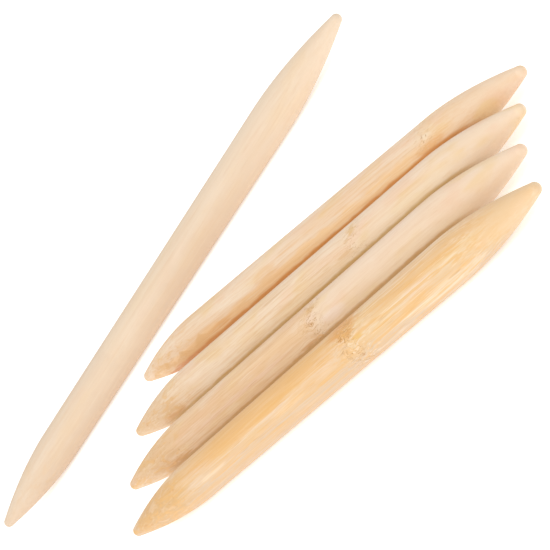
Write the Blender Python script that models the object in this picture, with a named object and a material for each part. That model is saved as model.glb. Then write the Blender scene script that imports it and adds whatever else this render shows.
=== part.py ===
"""Set of five double-pointed knitting needles in bamboo, 10 mm thick and 200 mm long.

Four needles lie side by side, slightly fanned, and the fifth lies apart at a small angle.
+Z is up and +X runs along the four. The origin is the centre of the set's box, on the surface
that the needles lie on.
"""

import math

import bmesh
import bpy
from mathutils import Vector

# One needle, in metres
LENGTH = 0.200
DIAMETER = 0.010
TAPER_LENGTH = 0.036  # from the very tip to the full diameter, the same at both ends
TIP_DIAMETER = 0.0028  # the dome that rounds off the point
TAPER_POWER = 1.8  # 1 would be a straight cone; more makes a softer, fuller shoulder

# The mesh of one needle
SIDES = 24
DOME_STEPS = 3
TAPER_STEPS = 10
MERGE_DISTANCE = 1e-6

# Where the middle of each needle lies along and across the set, in metres, and its turn about
# +Z, in degrees. Neighbours keep at least 0.3 mm between them.
LAYOUT = {
    "working_needle": (-0.0676, 0.0215, 19.3),
    "stitch_needle_1": (0.0356, -0.0077, -2.2),
    "stitch_needle_2": (0.0378, -0.0202, -0.5),
    "stitch_needle_3": (0.0410, -0.0329, 0.9),
    "stitch_needle_4": (0.0500, -0.0464, 1.7),
}

# Finish: the colour of each needle's bamboo, linear RGB
BAMBOO_COLOURS = {
    "working_needle": (0.86, 0.68, 0.49),
    "stitch_needle_1": (0.84, 0.63, 0.41),
    "stitch_needle_2": (0.84, 0.65, 0.45),
    "stitch_needle_3": (0.80, 0.60, 0.41),
    "stitch_needle_4": (0.82, 0.58, 0.32),
}
ROUGHNESS = 0.45
METALLIC = 0.0


def clear_scene():
    """Remove every object that the file starts with."""
    for obj in list(bpy.data.objects):
        bpy.data.objects.remove(obj, do_unlink=True)


def half_profile():
    """Return (distance from the tip, radius) pairs from the tip to the shoulder."""
    tip_radius = TIP_DIAMETER / 2
    body_radius = DIAMETER / 2
    points = []
    for step in range(DOME_STEPS):
        angle = math.pi / 2 * step / DOME_STEPS
        points.append((tip_radius * (1 - math.cos(angle)), tip_radius * math.sin(angle)))
    for step in range(TAPER_STEPS + 1):
        share = step / TAPER_STEPS
        fullness = 1 - (1 - share) ** TAPER_POWER
        distance = tip_radius + (TAPER_LENGTH - tip_radius) * share
        points.append((distance, tip_radius + (body_radius - tip_radius) * fullness))
    return points


def needle_mesh():
    """Turn one needle about X, centred, with a flat facet facing straight down."""
    half = half_profile()
    outline = [(distance - LENGTH / 2, radius) for distance, radius in half]
    outline += [(-x, radius) for x, radius in reversed(outline)]

    facet_turn = math.pi / SIDES
    corner_scale = 1 / math.cos(facet_turn)  # the flats, not the corners, are DIAMETER apart
    bm = bmesh.new()
    verts = []
    for x, radius in outline:
        corner = radius * corner_scale
        offset = (corner * math.sin(facet_turn), -corner * math.cos(facet_turn))
        verts.append(bm.verts.new((x, offset[0], offset[1])))
    edges = [bm.edges.new(pair) for pair in zip(verts, verts[1:])]
    bmesh.ops.spin(
        bm,
        geom=verts + edges,
        cent=(0, 0, 0),
        axis=(1, 0, 0),
        angle=2 * math.pi,
        steps=SIDES,
        use_merge=True,
    )
    bmesh.ops.remove_doubles(bm, verts=bm.verts, dist=MERGE_DISTANCE)
    bmesh.ops.recalc_face_normals(bm, faces=bm.faces)
    mesh = bpy.data.meshes.new("needle")
    bm.to_mesh(mesh)
    bm.free()
    mesh.shade_smooth()
    return mesh


def bamboo(name, colour):
    """Return a satin bamboo material of one colour."""
    material = bpy.data.materials.new(name)
    material.use_nodes = True
    shader = material.node_tree.nodes["Principled BSDF"]
    shader.inputs["Base Color"].default_value = (*colour, 1)
    shader.inputs["Roughness"].default_value = ROUGHNESS
    shader.inputs["Metallic"].default_value = METALLIC
    material.diffuse_color = (*colour, 1)
    return material


def add_needle(name, mesh):
    """Lay one needle down at its place, resting on Z = 0."""
    own_mesh = mesh.copy()
    own_mesh.name = name
    own_mesh.materials.append(bamboo("bamboo_" + name, BAMBOO_COLOURS[name]))
    along, across, turn = LAYOUT[name]
    needle = bpy.data.objects.new(name, own_mesh)
    needle.location = (along, across, DIAMETER / 2)
    needle.rotation_euler = (0, 0, math.radians(turn))
    bpy.context.collection.objects.link(needle)
    return needle


def centre_on_origin(needles):
    """Slide the whole set along X and Y until its box is centred on the origin."""
    bpy.context.view_layer.update()
    corners = [obj.matrix_world @ vert.co for obj in needles for vert in obj.data.vertices]
    shift = Vector((0, 0, 0))
    for axis in (0, 1):
        values = [corner[axis] for corner in corners]
        shift[axis] = -(min(values) + max(values)) / 2
    for obj in needles:
        obj.location += shift


def main():
    clear_scene()
    mesh = needle_mesh()
    needles = [add_needle(name, mesh) for name in LAYOUT]
    centre_on_origin(needles)
    bpy.data.meshes.remove(mesh)


main()
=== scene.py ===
import math

import bpy
import numpy as np
from mathutils import Matrix, Vector


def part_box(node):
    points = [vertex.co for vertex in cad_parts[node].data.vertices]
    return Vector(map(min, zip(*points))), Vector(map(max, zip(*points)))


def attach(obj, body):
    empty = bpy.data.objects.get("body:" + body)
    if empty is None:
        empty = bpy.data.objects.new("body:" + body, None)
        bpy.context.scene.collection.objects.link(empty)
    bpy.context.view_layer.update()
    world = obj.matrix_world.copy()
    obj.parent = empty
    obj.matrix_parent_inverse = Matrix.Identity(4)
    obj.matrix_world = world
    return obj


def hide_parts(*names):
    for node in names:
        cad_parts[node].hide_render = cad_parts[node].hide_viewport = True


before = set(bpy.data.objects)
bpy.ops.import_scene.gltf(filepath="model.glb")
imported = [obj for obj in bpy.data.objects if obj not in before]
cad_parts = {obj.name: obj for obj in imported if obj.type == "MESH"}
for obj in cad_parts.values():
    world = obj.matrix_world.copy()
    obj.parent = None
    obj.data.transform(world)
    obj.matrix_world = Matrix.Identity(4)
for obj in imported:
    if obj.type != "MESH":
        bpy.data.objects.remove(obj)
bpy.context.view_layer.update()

MM = 0.001

# The camera, about the middle of the set
CAMERA_AIM = Vector((0.00628, -0.00102, 0.0))
CAMERA_DISTANCE = 0.7789
CAMERA_AZIMUTH = 62.267
CAMERA_ELEVATION = 17.282
CAMERA_ROLL = 71.159
CAMERA_LENS = 224.21
SENSOR = 36.0

# One needle
TAPER_LENGTH = 36 * MM
TIP_RADIUS = 1.4 * MM
TAPER_POWER = 1.8
AROUND = 96
BODY_STATIONS = 120
TAPER_STATIONS = 44
DOME_STATIONS = 8
JOINT_STATIONS = 44  # extra rings over the growth joint, for its pits
JOINT_REACH = 5 * MM
PIT_DEPTH = 0.14 * MM
WAVE_HEIGHT = 0.02 * MM  # how far the sanded surface is from truly round

# The lights show a surface a little brighter than its own colour
OWN_SHARE = 0.76

# The lower side of a needle has a tone that is partly the bamboo's own and partly painted light and
# shade: how much of it is left on the far taper, and half the length of a tooth along its edge on the near
# taper, in millimetres
FAR_LOWER_TONE_AND_PAINTED_LIGHT = 0.15
ZIGZAG_STEP = 5.8

# A painted shade line along the next needle, where that needle shades this one. In millimetres across
# from lower_edge: where it sets in and where it has faded, and then half the length over which it begins
# and over which it ends. Past BODY_END the taper falls away, and the line falls with it by EDGE_CURVE
# times the square of the distance.
PAINTED_SHADE_EDGE = (-1.05, -0.4)
PAINTED_SHADE_FADE = (0.9, 0.2)
PAINTED_SHADE_ENDS = (6.0, 8.0)
BODY_END = 64.0
EDGE_CURVE = 0.0045

# A mark on one side of a needle fades where the surface turns away from that side, millimetres
MARK_FRONT = (-0.5, 0.8)

# The floor glows a little, like a light table, so that shadows on it stay faint
FLOOR_GLOW = 0.42
ROOM_LIGHT = 0.85
KEY_PLACE = (0.25, -0.58, 0.80)
KEY_SIZE = 1.0
KEY_POWER = 6.0


def tone(red, green, blue):
    """Linear colour of bamboo that looks like this 8-bit screen colour under the lights."""
    linear = [((value / 255 + 0.055) / 1.055) ** 2.4 for value in (red, green, blue)]
    return (*(OWN_SHARE * value for value in linear), 1.0)


# Tones that every needle has
MOTTLE_TONES = (tone(249, 206, 172), tone(246, 208, 140), tone(253, 232, 210))
PALE_FIBRE = tone(254, 230, 196)
DARK_DASH = tone(214, 160, 100)
TAPER_DEEP = tone(240, 188, 116)
TAPER_PALE = tone(245, 211, 172)
TAPER_FLECK = tone(222, 164, 98)
JOINT_LINE = tone(198, 142, 72)
JOINT_PALE = tone(253, 230, 198)
JOINT_DEEP = tone(236, 182, 112)
PIT_FLOOR = tone(196, 146, 96)

# The bamboo of each needle. Distances along a needle are in millimetres from its middle, + towards
# +X. Distances across are in millimetres too: 0 is the line on its surface that faces the near side
# at view_angle degrees from straight up, -5 is the upper far edge and +5 the lower near edge.
# tones, bands, streaks, fibres and pale_lines hold the value before the growth joint and after it.
# lower_edge is where the next needle meets the surface, across: at the middle, and its slope.
# zone is the tone of the lower side, partly the bamboo's own and partly painted light and shade: where it
# sets in and where it is full, across from lower_edge, its amount and the depth of its scallops.
# lower_tone_and_painted_light_span is where, along, it has faded and where it is full.
# seam is the painted shade line where the next needle lies against the lower side: (start along, end
# along, amount), and None where no needle lies against it.
# far_end is where the grain starts to fade towards the far tip, where it has, and by how much.
# A patch is (along, across, half length, half width, tone, amount).
# A pit is (along, across, radius).
BAMBOO = {
    "working_needle": {
        "slot": "bamboo_pale",
        "seed": 3.0,
        "view_angle": 66.8,
        "tones": (tone(240, 217, 191), tone(243, 220, 193)),
        "joint_at": -24.0,
        "joint_strength": 0.10,
        "streak_tone": tone(231, 194, 152),
        "bands": (0.18, 0.15),
        "streaks": (0.12, 0.16),
        "fibres": (0.12, 0.12),
        "pale_lines": (0.12, 0.12),
        "mottle": 0.12,
        "taper_mottle": 0.10,
        "lower_edge": (0.0, 0.0),
        # painted shade: the lower side is darker than the rest
        "lower_tone_and_painted_light": (-2.0, 4.5, 0.85, 0.8),
        "lower_tone_and_painted_light_span": (95.0, 5.0),
        "lower_tone_and_painted_light_colour": tone(216, 184, 152),
        "seam": None,
        "far_end": (70.0, 92.0, 0.4),
        "patches": [],
        "pits": [],
    },
    "stitch_needle_1": {
        "slot": "bamboo_warm",
        "seed": 11.0,
        "view_angle": 54.0,
        "tones": (tone(249, 221, 190), tone(249, 218, 184)),
        "joint_at": 65.0,
        "joint_strength": 0.5,
        "streak_tone": tone(240, 188, 126),
        "bands": (0.28, 0.28),
        "streaks": (0.34, 0.26),
        "fibres": (0.26, 0.20),
        "pale_lines": (0.30, 0.22),
        "mottle": 0.45,
        "taper_mottle": 0.45,
        "lower_edge": (2.27, -0.0155),
        "lower_tone_and_painted_light": (-3.5, -2.4, 0.75, 1.4),
        "lower_tone_and_painted_light_span": (82.0, 50.0),
        "lower_tone_and_painted_light_colour": tone(255, 210, 150),
        "zigzag": 2.2,
        "zigzag_tone": tone(236, 186, 122),
        "seam": (-90.0, 79.0, 0.85),
        "painted_shade_line_colour": tone(222, 144, 62),
        "far_end": (74.0, 90.0, 0.7),
        "patches": [
            (-36.0, -1.6, 11.0, 1.3, tone(253, 232, 206), 0.7),
            (-46.0, 1.2, 7.0, 0.7, tone(238, 176, 108), 0.7),
            (-17.0, -1.4, 6.0, 1.3, tone(243, 196, 140), 0.55),
            (65.0, -0.1, 6.0, 0.8, tone(242, 184, 116), 0.8),
            (66.5, -2.0, 2.2, 0.5, tone(255, 236, 205), 0.6),
            (-84.0, 0.6, 5.0, 0.9, tone(236, 184, 112), 0.6),
            # painted shade: deep orange low on the near taper, where the next needle lies against it
            (-72.0, 3.2, 12.0, 0.9, tone(224, 146, 76), 0.85),
        ],
        "pits": [(64.6, -2.4, 0.32), (64.7, -1.4, 0.28), (66.3, -2.2, 0.3)],
    },
    "stitch_needle_2": {
        "slot": "bamboo_cream",
        "seed": 23.0,
        "view_angle": 55.6,
        "tones": (tone(250, 224, 194), tone(250, 223, 193)),
        "joint_at": 32.0,
        "joint_strength": 0.5,
        "streak_tone": tone(236, 190, 134),
        "bands": (0.32, 0.18),
        "streaks": (0.38, 0.20),
        "fibres": (0.34, 0.16),
        "pale_lines": (0.38, 0.20),
        "mottle": 0.45,
        "taper_mottle": 0.5,
        "lower_edge": (2.27, -0.0135),
        # painted light: lifts the lower side where the next needle shades it
        "lower_tone_and_painted_light": (-4.5, -1.0, 0.50, 0.8),
        "lower_tone_and_painted_light_span": (90.0, 70.0),
        "lower_tone_and_painted_light_colour": tone(255, 236, 202),
        "seam": (-80.0, 79.0, 0.7),
        "painted_shade_line_colour": tone(206, 160, 76),
        "far_end": (66.0, 84.0, 0.8),
        "patches": [
            (-7.0, -3.5, 8.0, 0.22, tone(222, 176, 122), 0.6),
            (15.0, -1.5, 7.0, 0.25, tone(230, 186, 132), 0.5),
            (32.5, -3.8, 2.6, 0.7, tone(228, 180, 100), 0.6),
            (27.0, -0.7, 3.5, 0.4, tone(228, 178, 116), 0.5),
            (-73.0, 1.3, 7.0, 0.9, tone(238, 190, 118), 0.65),
            (-84.0, 0.0, 17.0, 5.0, tone(226, 182, 124), 0.5),
            # painted shade: deep orange low on the near taper, where the next needle lies against it
            (-74.0, 2.6, 7.0, 1.1, tone(216, 152, 56), 0.85),
            (-50.0, -1.4, 9.0, 1.6, tone(252, 228, 200), 0.5),
        ],
        "pits": [(-89.4, 0.0, 0.2), (-82.6, -1.2, 0.22)],
    },
    "stitch_needle_3": {
        "slot": "bamboo_tan",
        "seed": 37.0,
        "view_angle": 56.8,
        "tones": (tone(245, 206, 160), tone(250, 222, 192)),
        "joint_at": 12.5,
        "joint_strength": 0.9,
        "streak_tone": tone(230, 182, 130),
        "bands": (0.30, 0.14),
        "streaks": (0.30, 0.14),
        "fibres": (0.35, 0.14),
        "pale_lines": (0.25, 0.14),
        "mottle": 0.38,
        "taper_mottle": 0.7,
        "lower_edge": (2.8, -0.009),
        # painted light: lifts the lower side where the next needle shades it
        "lower_tone_and_painted_light": (-5.0, -1.0, 0.50, 0.8),
        "lower_tone_and_painted_light_span": (90.0, 70.0),
        "lower_tone_and_painted_light_colour": tone(255, 232, 194),
        "seam": (-76.0, 76.0, 0.7),
        "painted_shade_line_colour": tone(204, 152, 76),
        "far_end": (66.0, 84.0, 0.8),
        "patches": [
            (-26.0, -0.1, 28.0, 0.5, tone(250, 216, 188), 0.7),
            (21.0, -0.1, 5.0, 1.1, tone(254, 232, 214), 0.7),
            (6.0, 1.7, 5.0, 0.4, tone(214, 156, 88), 0.6),
            (-77.0, 1.4, 5.0, 0.9, tone(238, 188, 116), 0.65),
            (-80.0, 0.0, 16.0, 5.0, tone(226, 184, 128), 0.45),
            # painted shade: deep orange low on the near taper, where the next needle lies against it
            (-69.0, 2.4, 7.0, 1.1, tone(216, 154, 60), 0.85),
            (13.0, -4.0, 2.5, 0.7, tone(228, 180, 116), 0.6),
        ],
        "pits": [(-75.0, -1.5, 0.22), (-63.9, 0.4, 0.24)],
    },
    "stitch_needle_4": {
        "slot": "bamboo_golden",
        "seed": 51.0,
        "view_angle": 57.5,
        "tones": (tone(239, 206, 168), tone(240, 211, 171)),
        "joint_at": 25.0,
        "joint_strength": 1.0,
        "streak_tone": tone(240, 186, 110),
        "bands": (0.35, 0.35),
        "streaks": (0.45, 0.65),
        "fibres": (0.35, 0.45),
        "pale_lines": (0.15, 0.45),
        "mottle": 0.3,
        "taper_mottle": 0.85,
        "lower_edge": (0.0, 0.0),
        # painted shade: the lower side is darker than the rest
        "lower_tone_and_painted_light": (-1.5, 3.5, 0.75, 0.8),
        "lower_tone_and_painted_light_span": (110.0, 95.0),
        "lower_tone_and_painted_light_colour": tone(214, 188, 160),
        "seam": None,
        "far_end": (72.0, 90.0, 0.9),
        "patches": [
            (-20.0, -3.4, 42.0, 2.5, tone(241, 186, 112), 0.85),
            (-80.0, 0.0, 18.0, 5.0, tone(222, 174, 110), 0.75),
            (-13.0, -1.6, 9.0, 0.7, tone(240, 184, 104), 0.6),
            (24.5, -4.3, 7.0, 1.5, tone(230, 160, 78), 0.95),
            (27.0, -3.0, 2.4, 1.1, tone(226, 164, 86), 0.8),
            (30.0, -1.1, 2.2, 0.5, tone(240, 190, 90), 0.7),
            (13.0, 1.5, 7.0, 0.45, tone(236, 186, 118), 0.7),
            (-44.0, 1.9, 8.0, 0.45, tone(238, 190, 130), 0.6),
            (-47.0, 0.8, 6.0, 0.5, tone(252, 228, 196), 0.6),
            (-7.0, 0.5, 8.0, 0.6, tone(252, 226, 192), 0.6),
            (53.0, 0.9, 6.0, 0.6, tone(242, 192, 124), 0.6),
            (62.0, 2.9, 16.0, 1.3, tone(250, 222, 186), 0.7),
            (68.0, 2.1, 2.5, 0.18, tone(206, 160, 100), 0.6),
            (62.0, -3.2, 26.0, 1.6, tone(236, 184, 122), 0.55),
            (90.0, -1.0, 12.0, 4.0, tone(238, 196, 144), 0.6),
        ],
        "pits": [],
    },
}


def add_camera():
    """A long lens low over the floor, looking across the needles and rolled on its side."""
    azimuth = math.radians(CAMERA_AZIMUTH)
    elevation = math.radians(CAMERA_ELEVATION)
    roll = math.radians(CAMERA_ROLL)
    back = Vector((
        math.sin(azimuth) * math.cos(elevation),
        -math.cos(azimuth) * math.cos(elevation),
        math.sin(elevation),
    ))
    level_right = Vector((0, 0, 1)).cross(back).normalized()
    level_up = back.cross(level_right)
    right = level_right * math.cos(roll) - level_up * math.sin(roll)
    up = level_right * math.sin(roll) + level_up * math.cos(roll)
    turn = Matrix((right, up, back)).transposed().to_4x4()

    data = bpy.data.cameras.new("camera")
    data.lens = CAMERA_LENS
    data.sensor_width = SENSOR
    data.clip_start = 0.01
    data.clip_end = 20
    camera = bpy.data.objects.new("camera", data)
    camera.matrix_world = Matrix.Translation(CAMERA_AIM + back * CAMERA_DISTANCE) @ turn
    bpy.context.scene.collection.objects.link(camera)
    bpy.context.scene.camera = camera


class Graph:
    """Short names for the shader nodes of one material."""

    def __init__(self, name):
        self.material = bpy.data.materials.new(name)
        self.material.use_nodes = True
        self.tree = self.material.node_tree
        self.shader = self.tree.nodes["Principled BSDF"]

    def node(self, kind, **settings):
        made = self.tree.nodes.new(kind)
        for key, value in settings.items():
            setattr(made, key, value)
        return made

    def feed(self, socket, value):
        if isinstance(value, bpy.types.NodeSocket):
            self.tree.links.new(value, socket)
        else:
            socket.default_value = value

    def math(self, operation, *values):
        made = self.node("ShaderNodeMath", operation=operation)
        for socket, value in zip(made.inputs, values):
            self.feed(socket, value)
        return made.outputs[0]

    def product(self, first, *others):
        for other in others:
            first = self.math("MULTIPLY", first, other)
        return first

    def vector(self, operation, *values):
        made = self.node("ShaderNodeVectorMath", operation=operation)
        for socket, value in zip(made.inputs, values):
            self.feed(socket, value)
        return made.outputs["Value" if operation in ("DOT_PRODUCT", "LENGTH") else "Vector"]

    def scaled(self, vector, x, y, z):
        return self.vector("MULTIPLY", vector, (x, y, z))

    def moved(self, vector, x, y, z):
        return self.vector("ADD", vector, (x, y, z))

    def times(self, vector, factor):
        made = self.node("ShaderNodeVectorMath", operation="SCALE")
        self.feed(made.inputs[0], vector)
        self.feed(made.inputs["Scale"], factor)
        return made.outputs[0]

    def smooth(self, value, low, high, out_low=0.0, out_high=1.0):
        made = self.node("ShaderNodeMapRange", interpolation_type="SMOOTHSTEP")
        for socket, item in zip(made.inputs, (value, low, high, out_low, out_high)):
            self.feed(socket, item)
        return made.outputs[0]

    def noise(self, vector, detail=2.0, roughness=0.5, distortion=0.0, colour=False):
        made = self.node("ShaderNodeTexNoise")
        self.feed(made.inputs["Vector"], vector)
        made.inputs["Scale"].default_value = 1.0
        made.inputs["Detail"].default_value = detail
        made.inputs["Roughness"].default_value = roughness
        made.inputs["Distortion"].default_value = distortion
        return made.outputs[1 if colour else 0]

    def mix(self, factor, first, second):
        made = self.node("ShaderNodeMix", data_type="RGBA")
        self.feed(made.inputs[0], factor)
        self.feed(made.inputs[6], first)
        self.feed(made.inputs[7], second)
        return made.outputs[2]

    def bell(self, value, width):
        """1 where value is 0, falling smoothly to almost 0 at twice the width."""
        share = self.math("DIVIDE", value, width)
        return self.math("EXPONENT", self.math("MULTIPLY", self.math("MULTIPLY", share, share), -1.0))


class Bamboo(Graph):
    """Bamboo whose fibres run along the needle, with one growth joint where they swirl."""

    def __init__(self, name, look):
        super().__init__("bamboo_" + name)
        self.look = look
        rod = self.node("ShaderNodeAttribute", attribute_name="rod").outputs["Vector"]
        point = self.scaled(rod, 1 / MM, 1 / MM, 1 / MM)
        angle = math.radians(look["view_angle"])
        self.seeded = self.moved(point, 0.0, look["seed"] * 7.3, look["seed"] * 3.1)
        self.along = self.vector("DOT_PRODUCT", point, (1, 0, 0))
        self.across = self.vector("DOT_PRODUCT", point, (0, -math.cos(angle), -math.sin(angle)))
        self.facing = self.vector("DOT_PRODUCT", point, (0, -math.sin(angle), math.cos(angle)))
        middle, slope = look["lower_edge"]
        past = self.math("MAXIMUM", self.math("SUBTRACT", self.along, BODY_END), 0.0)
        line = self.math("MULTIPLY_ADD", self.along, slope, middle)
        line = self.math("ADD", line, self.product(past, past, EDGE_CURVE))
        self.below = self.math("SUBTRACT", self.across, line)
        self.from_joint = self.math("SUBTRACT", self.along, look["joint_at"])
        self.bend_fibres()
        self.colour = None

    def bend_fibres(self):
        """Fibres wander a little everywhere and swirl at the joint."""
        swirl = self.noise(self.scaled(self.seeded, 0.16, 0.42, 0.42), detail=2, colour=True)
        self.swirl = self.vector("SUBTRACT", swirl, (0.5, 0.5, 0.5))
        self.sway = self.vector("DOT_PRODUCT", self.swirl, (1, 0, 0))
        near_joint = self.bell(self.from_joint, 6.0)
        reach = self.math("MULTIPLY_ADD", near_joint, 4.5 * self.look["joint_strength"], 0.35)
        bent = self.times(self.scaled(self.swirl, 2.0, 0.8, 0.8), reach)
        self.fibre_point = self.vector("ADD", self.seeded, bent)

    def paint(self, amount, colour):
        self.colour = self.mix(amount, self.colour, colour)

    def by_side(self, key):
        before, after = self.look[key]
        return self.math("MULTIPLY_ADD", self.after_joint, after - before, before)

    def fibre_noise(self, along, across, shift, low, high, **settings):
        """Streaks 1/across wide and 1/along long, cut to 0 below low and 1 above high."""
        spot = self.moved(self.fibre_point, shift, shift, -shift)
        value = self.noise(self.scaled(spot, along, across, across), **settings)
        return self.smooth(value, low, high)

    def ground(self):
        """One tone on each side of the joint, with a wavy edge between them."""
        edge = self.math("MULTIPLY_ADD", self.sway, 12.0, self.from_joint)
        self.after_joint = self.smooth(edge, -1.5, 1.5)
        self.colour = self.mix(self.after_joint, *self.look["tones"])
        mottle = self.noise(self.scaled(self.seeded, 0.06, 0.28, 0.28), detail=2, colour=True)
        split = self.node("ShaderNodeSeparateColor")
        self.feed(split.inputs[0], mottle)
        for channel, colour in enumerate(MOTTLE_TONES):
            amount = self.product(self.smooth(split.outputs[channel], 0.5, 0.68), self.look["mottle"])
            self.paint(amount, colour)

    def patches(self):
        """Single marks, each with an uneven edge drawn out along the fibres."""
        along = self.math("MULTIPLY_ADD", self.sway, 7.0, self.along)
        ragged = self.noise(self.scaled(self.fibre_point, 0.05, 1.6, 1.6), detail=3, roughness=0.6)
        front = self.smooth(self.facing, *MARK_FRONT)
        for at, side, half_length, half_width, colour, amount in self.look["patches"]:
            place = self.node("ShaderNodeCombineXYZ")
            lengthways = self.math("SUBTRACT", along, at)
            sideways = self.math("SUBTRACT", self.across, side)
            self.feed(place.inputs[0], self.math("DIVIDE", lengthways, half_length))
            self.feed(place.inputs[1], self.math("DIVIDE", sideways, half_width))
            away = self.vector("LENGTH", place.outputs[0])
            away = self.math("ADD", away, self.math("MULTIPLY_ADD", ragged, 1.6, -0.8))
            self.paint(self.product(self.smooth(away, 1.3, 0.6), amount, front), colour)

    def fibres(self):
        """Broad bands, streaks of fibre bundles, fine fibres and pale lines between them."""
        start, end, loss = self.look["far_end"]
        plain = self.smooth(self.math("MULTIPLY_ADD", self.sway, 8.0, self.along), start, end)
        left = self.math("MULTIPLY_ADD", plain, -loss, 1.0)
        bands = self.fibre_noise(0.014, 0.55, 0.0, 0.42, 0.62, detail=2)
        streaks = self.fibre_noise(0.035, 1.7, 31.0, 0.50, 0.62, detail=3, roughness=0.6)
        self.fine = self.fibre_noise(0.07, 4.2, 67.0, 0.45, 0.68, detail=2, roughness=0.6)
        pale = self.fibre_noise(0.04, 2.4, 93.0, 0.54, 0.66, detail=2, roughness=0.55)
        dashes = self.fibre_noise(0.12, 4.4, 121.0, 0.62, 0.74, detail=1)
        streak_tone = self.look["streak_tone"]
        self.paint(self.product(bands, self.by_side("bands"), left), streak_tone)
        self.paint(self.product(streaks, self.by_side("streaks"), left), streak_tone)
        self.paint(self.product(self.fine, self.by_side("fibres"), left), streak_tone)
        self.paint(self.product(pale, self.by_side("pale_lines"), left), PALE_FIBRE)
        self.paint(self.product(dashes, self.by_side("fibres"), left, 0.8), DARK_DASH)

    def near_taper(self):
        """The near taper cuts across the fibres and shows them as short blotches."""
        on_taper = self.smooth(self.math("MULTIPLY_ADD", self.sway, 14.0, self.along), -56.0, -70.0)
        amount = self.product(on_taper, self.look["taper_mottle"])
        spot = self.scaled(self.fibre_point, 0.17, 0.62, 0.62)
        blotch = self.noise(spot, detail=2.5, roughness=0.6, distortion=0.8)
        self.paint(self.product(self.smooth(blotch, 0.50, 0.64), amount), TAPER_DEEP)
        self.paint(self.product(self.smooth(blotch, 0.46, 0.34), amount, 0.5), TAPER_PALE)
        flecks = self.noise(self.scaled(self.fibre_point, 0.5, 1.7, 1.7), detail=2, distortion=1.0)
        self.paint(self.product(self.smooth(flecks, 0.60, 0.70), amount, 0.8), TAPER_FLECK)

    def joint(self):
        """Curved flecks, dark and pale, where the fibres swirl at the joint."""
        spot = self.scaled(self.fibre_point, 0.34, 0.95, 0.95)
        knots = self.noise(spot, detail=2, roughness=0.55, distortion=1.4)
        offset = self.math("ABSOLUTE", self.math("SUBTRACT", knots, 0.5))
        lines = self.smooth(offset, 0.036, 0.010)
        where = self.smooth(self.noise(self.moved(spot, 17.0, 5.0, 9.0), detail=1), 0.42, 0.56)
        strength = self.product(self.bell(self.from_joint, 4.2), self.look["joint_strength"])
        self.paint(self.product(lines, where, strength, 0.95), JOINT_LINE)
        self.paint(self.product(self.smooth(knots, 0.60, 0.70), strength, 0.4), JOINT_PALE)
        self.paint(self.product(self.smooth(knots, 0.40, 0.30), strength, 0.6), JOINT_DEEP)
        self.knot_lines = self.product(lines, where, strength)

    def lower_tone_and_painted_light(self):
        """The lower side has a tone with a scalloped edge, partly the bamboo's own and partly painted light
        and shade.
        """
        low, high, amount, scallop = self.look["lower_tone_and_painted_light"]
        wave = self.noise(self.scaled(self.seeded, 0.09, 0.12, 0.12), detail=2)
        across = self.math("MULTIPLY_ADD", self.math("SUBTRACT", wave, 0.5), scallop * 2.0, self.below)
        fade = self.smooth(self.along, *self.look["lower_tone_and_painted_light_span"], FAR_LOWER_TONE_AND_PAINTED_LIGHT)
        self.paint(self.product(self.smooth(across, low, high), fade, amount), self.look["lower_tone_and_painted_light_colour"])
        if "zigzag" in self.look:
            wavy = self.math("MULTIPLY_ADD", self.sway, 8.0, self.along)
            teeth = self.math("PINGPONG", wavy, ZIGZAG_STEP)
            height = self.math("MULTIPLY_ADD", teeth, -self.look["zigzag"] / ZIGZAG_STEP, across)
            on_taper = self.smooth(self.along, -48.0, -58.0)
            edge = self.smooth(height, low - 0.3, low + 0.4)
            self.paint(self.product(edge, on_taper, 0.7), self.look["zigzag_tone"])

    def seam(self):
        """A narrow painted shade line where a needle lies against the next one."""
        if not self.look["seam"]:
            return
        start, end, amount = self.look["seam"]
        waver = self.math("MULTIPLY_ADD", self.sway, 0.8, self.below)
        at_start, at_end = PAINTED_SHADE_ENDS
        begun = self.smooth(self.along, start - at_start, start + at_start)
        ended = self.smooth(self.along, end + at_end, end - at_end)
        line = self.product(self.smooth(waver, *PAINTED_SHADE_EDGE), self.smooth(waver, *PAINTED_SHADE_FADE))
        self.paint(self.product(line, begun, ended, amount), self.look["painted_shade_line_colour"])

    def pits(self):
        """The floor of each small pit is dark."""
        front = self.smooth(self.facing, *MARK_FRONT)
        for at, side, radius in self.look["pits"]:
            place = self.node("ShaderNodeCombineXYZ")
            self.feed(place.inputs[0], self.math("SUBTRACT", self.along, at))
            self.feed(place.inputs[1], self.math("SUBTRACT", self.across, side))
            away = self.vector("LENGTH", place.outputs[0])
            inside = self.smooth(away, radius * 1.1, radius * 0.4)
            self.paint(self.product(inside, front, 0.6), PIT_FLOOR)

    def finish(self):
        """Satin sanded surface with the fibres just felt."""
        shader = self.shader
        self.feed(shader.inputs["Base Color"], self.colour)
        self.feed(shader.inputs["Roughness"], self.math("MULTIPLY_ADD", self.fine, 0.10, 0.45))
        shader.inputs["IOR"].default_value = 1.45
        height = self.math("SUBTRACT", self.math("MULTIPLY", self.fine, 0.6), self.knot_lines)
        bump = self.node("ShaderNodeBump")
        bump.inputs["Strength"].default_value = 0.3
        bump.inputs["Distance"].default_value = 0.06 * MM
        self.feed(bump.inputs["Height"], height)
        self.feed(shader.inputs["Normal"], bump.outputs[0])


def bamboo(name, look):
    """The finished material of one needle."""
    wood = Bamboo(name, look)
    wood.ground()
    wood.lower_tone_and_painted_light()
    wood.patches()
    wood.fibres()
    wood.near_taper()
    wood.joint()
    wood.seam()
    wood.pits()
    wood.finish()
    return wood.material


def radius_at(distance, body_radius):
    """Radius of a needle at a distance from its tip: a dome, a swelling taper, then the body."""
    if distance < TIP_RADIUS:
        return math.sqrt(max(0.0, TIP_RADIUS**2 - (TIP_RADIUS - distance) ** 2))
    share = min(1.0, (distance - TIP_RADIUS) / (TAPER_LENGTH - TIP_RADIUS))
    return TIP_RADIUS + (body_radius - TIP_RADIUS) * (1 - (1 - share) ** TAPER_POWER)


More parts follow.
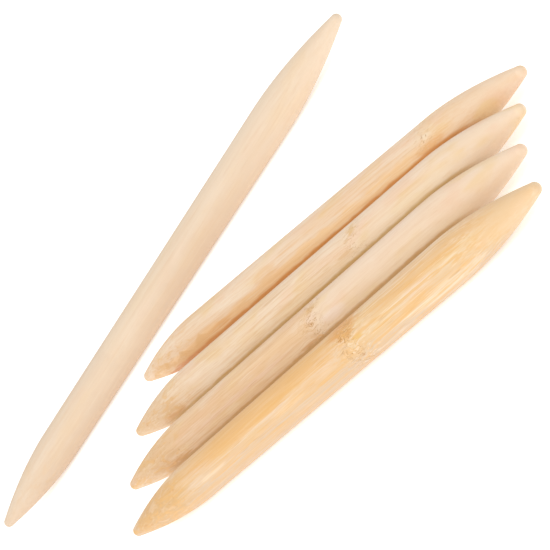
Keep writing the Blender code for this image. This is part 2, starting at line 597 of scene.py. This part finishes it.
def stations(length, joint_at):
    """Distances from one tip to the other where the needle has a ring, closest on the domes."""
    dome = [TIP_RADIUS * (1 - math.cos(math.pi / 2 * k / DOME_STATIONS)) for k in range(1, DOME_STATIONS)]
    taper = [TIP_RADIUS + (TAPER_LENGTH - TIP_RADIUS) * k / TAPER_STATIONS for k in range(TAPER_STATIONS)]
    body_length = length - 2 * TAPER_LENGTH
    body = [TAPER_LENGTH + body_length * k / BODY_STATIONS for k in range(BODY_STATIONS + 1)]
    half = dome + taper
    joint = length / 2 + joint_at
    fine = [joint - JOINT_REACH + 2 * JOINT_REACH * k / JOINT_STATIONS for k in range(JOINT_STATIONS + 1)]
    rings = half + body + [length - distance for distance in half]
    coarse = [distance for distance in rings if abs(distance - joint) > JOINT_REACH]
    return sorted(coarse + fine)


def needle_axis(node):
    """Middle, direction and length of a CAD needle, from its two tips, and its thickness."""
    points = [vertex.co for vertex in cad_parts[node].data.vertices]
    centre = sum(points, Vector()) / len(points)
    start = max((point for point in points if point.x < centre.x), key=lambda point: (point - centre).length)
    end = max((point for point in points if point.x > centre.x), key=lambda point: (point - centre).length)
    low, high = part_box(node)
    return (start + end) / 2, (end - start).normalized(), (end - start).length, high[2] - low[2]


def surface_offset(along, turn, radius, look):
    """How far the surface is from truly round: faint sanding flats, and a pit here and there."""
    seed = look["seed"]
    flats = math.sin(5 * turn + seed + 0.011 * along / MM) + math.sin(3 * turn - seed + 0.031 * along / MM)
    offset = -WAVE_HEIGHT * (1 + 0.5 * flats) * min(1.0, radius / (3 * MM))
    angle = math.radians(look["view_angle"])
    across = radius * (-math.cos(turn) * math.cos(angle) - math.sin(turn) * math.sin(angle))
    facing = -math.cos(turn) * math.sin(angle) + math.sin(turn) * math.cos(angle)
    if facing > 0:
        for at, side, size in look["pits"]:
            away = math.hypot(along - at * MM, across - side * MM) / (size * MM)
            if away < 1:
                offset -= PIT_DEPTH * (1 - away**2) ** 2
    return offset


def add_needle(node, look):
    """A turned bamboo needle in the place of its CAD solid."""
    middle, direction, length, thickness = needle_axis(node)
    sideways = Vector((0, 0, 1)).cross(direction).normalized()
    body_radius = thickness / 2

    rings = stations(length, look["joint_at"] * MM)
    local = [(-length / 2, 0.0, 0.0)]
    for distance in rings:
        along = distance - length / 2
        radius = radius_at(min(distance, length - distance), body_radius)
        for k in range(AROUND):
            turn = 2 * math.pi * k / AROUND
            actual = radius + surface_offset(along, turn, radius, look)
            local.append((along, actual * math.cos(turn), actual * math.sin(turn)))
    local.append((length / 2, 0.0, 0.0))
    last = len(local) - 1

    faces = [(0, 1 + (k + 1) % AROUND, 1 + k) for k in range(AROUND)]
    for ring in range(len(rings) - 1):
        first, second = 1 + ring * AROUND, 1 + (ring + 1) * AROUND
        for k in range(AROUND):
            after = (k + 1) % AROUND
            faces.append((first + k, first + after, second + after, second + k))
    end = 1 + (len(rings) - 1) * AROUND
    faces += [(last, end + k, end + (k + 1) % AROUND) for k in range(AROUND)]

    place = Matrix((direction, sideways, Vector((0, 0, 1)))).transposed()
    mesh = bpy.data.meshes.new(node + "_rod")
    mesh.from_pydata([middle + place @ Vector(point) for point in local], [], faces)
    rod = mesh.attributes.new("rod", "FLOAT_VECTOR", "POINT")
    rod.data.foreach_set("vector", np.array(local, np.float32).ravel())
    mesh.shade_smooth()
    mesh.materials.append(bamboo(node, look))
    piece = bpy.data.objects.new(node + "_rod", mesh)
    bpy.context.scene.collection.objects.link(piece)
    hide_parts(node)
    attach(piece, node)


def add_floor():
    """A plain pale floor that glows a little, large enough to fill the view."""
    half = 4.0
    mesh = bpy.data.meshes.new("floor")
    corners = [(-half, -half, 0), (half, -half, 0), (half, half, 0), (-half, half, 0)]
    mesh.from_pydata(corners, [], [(0, 1, 2, 3)])
    floor = bpy.data.objects.new("floor", mesh)
    floor.location.z = -0.05 * MM
    bpy.context.scene.collection.objects.link(floor)
    g = Graph("floor")
    g.shader.inputs["Base Color"].default_value = (0.93, 0.93, 0.93, 1)
    g.shader.inputs["Emission Color"].default_value = (1, 1, 1, 1)
    g.shader.inputs["Emission Strength"].default_value = FLOOR_GLOW
    g.shader.inputs["Roughness"].default_value = 0.8
    g.shader.inputs["Specular IOR Level"].default_value = 0.2
    mesh.materials.append(g.material)


def add_area_light(name, location, size, power):
    """A square soft light aimed at the middle of the set."""
    data = bpy.data.lights.new(name, "AREA")
    data.size = size
    data.energy = power
    light = bpy.data.objects.new(name, data)
    light.location = location
    light.rotation_mode = "QUATERNION"
    light.rotation_quaternion = Vector(location).to_track_quat("Z", "Y")
    bpy.context.scene.collection.objects.link(light)


def add_lights():
    """A bright room with a large soft light on the near side of the needles."""
    world = bpy.data.worlds.new("studio")
    world.use_nodes = True
    background = world.node_tree.nodes["Background"]
    background.inputs["Color"].default_value = (1, 1, 1, 1)
    background.inputs["Strength"].default_value = ROOM_LIGHT
    bpy.context.scene.world = world
    add_area_light("key", KEY_PLACE, KEY_SIZE, KEY_POWER)
    bpy.context.scene.view_settings.view_transform = "Standard"


add_camera()
add_floor()
add_lights()
for node, look in BAMBOO.items():
    add_needle(node, look)
